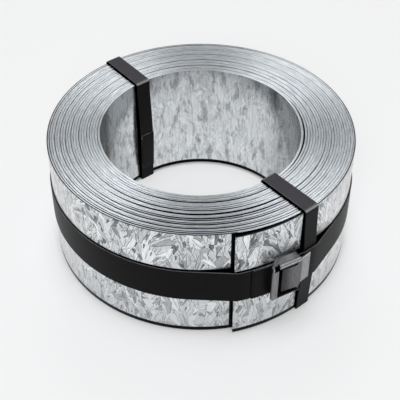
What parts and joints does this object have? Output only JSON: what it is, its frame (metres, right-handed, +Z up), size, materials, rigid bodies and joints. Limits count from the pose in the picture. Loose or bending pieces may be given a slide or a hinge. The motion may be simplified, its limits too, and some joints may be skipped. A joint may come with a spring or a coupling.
{
  "type": "steel coil",
  "caption": "Coil of slit galvanised steel strip on its side, tied by narrow straps through the eye and a wide buckled band round the outside.",
  "frame": {"origin": "on the coil's axis, at the level of the floor that it lies on", "axes": "+Z up along the coil's axis; -Y is the front, where the strip's outer end and the buckle are"},
  "size_m": [0.3119, 0.3127, 0.1346],
  "materials": {
    "galvanised_strip": "hot-dip galvanised, with large bright and dull zinc spangles",
    "black_strap": "black painted and waxed steel strapping, satin",
    "buckle_steel": "bare pressed steel, dull, with brighter bends"
  },
  "bodies": {
    "root": {"strip_coil": "galvanised_strip", "eye_strap_front": "black_strap", "eye_strap_back": "black_strap", "belly_band": "black_strap", "buckle_frame": "buckle_steel", "buckle_plate": "buckle_steel"}
  },
  "joints": []
}
